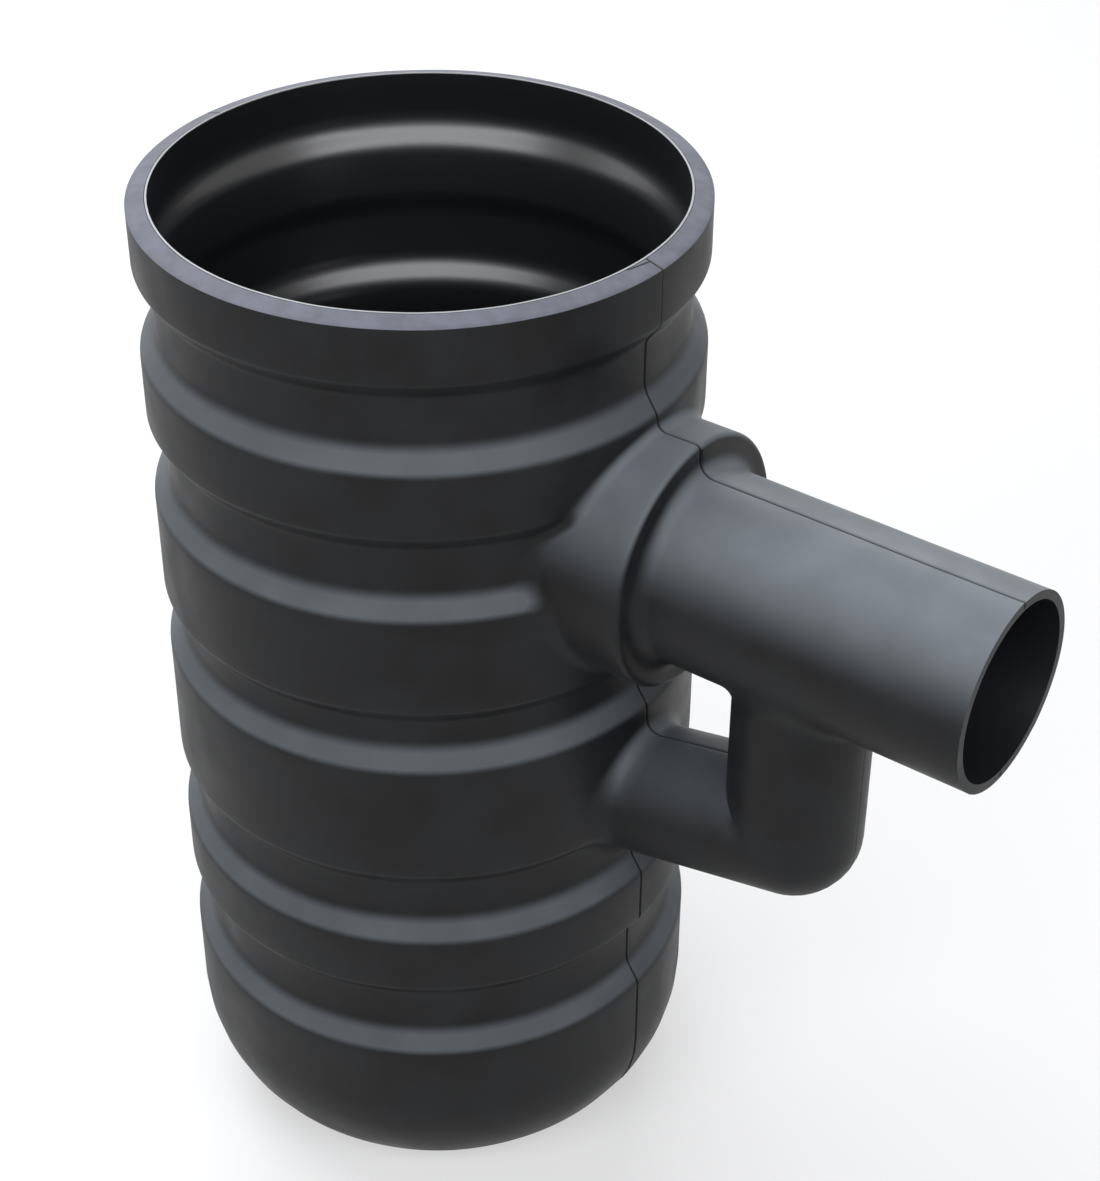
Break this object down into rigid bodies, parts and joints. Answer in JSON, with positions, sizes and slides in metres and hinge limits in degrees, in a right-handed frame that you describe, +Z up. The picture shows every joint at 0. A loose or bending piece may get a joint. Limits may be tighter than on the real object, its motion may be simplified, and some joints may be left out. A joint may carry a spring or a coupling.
{
  "type": "yard gully",
  "caption": "Black blow-moulded drain pot with an open mouth, ribbed sides, a horizontal outlet pipe on a boss and a built-in water trap under the pipe.",
  "frame": {"origin": "centre of the flat base that the pot stands on", "axes": "+Z up the pot's axis to the open mouth, +X along the outlet pipe away from the pot, the mould's parting plane at y = 0"},
  "size_m": [0.528, 0.312, 0.6324],
  "materials": {
    "polyethylene": "satin, as moulded"
  },
  "bodies": {
    "root": {"gully_body": "polyethylene"}
  },
  "joints": []
}
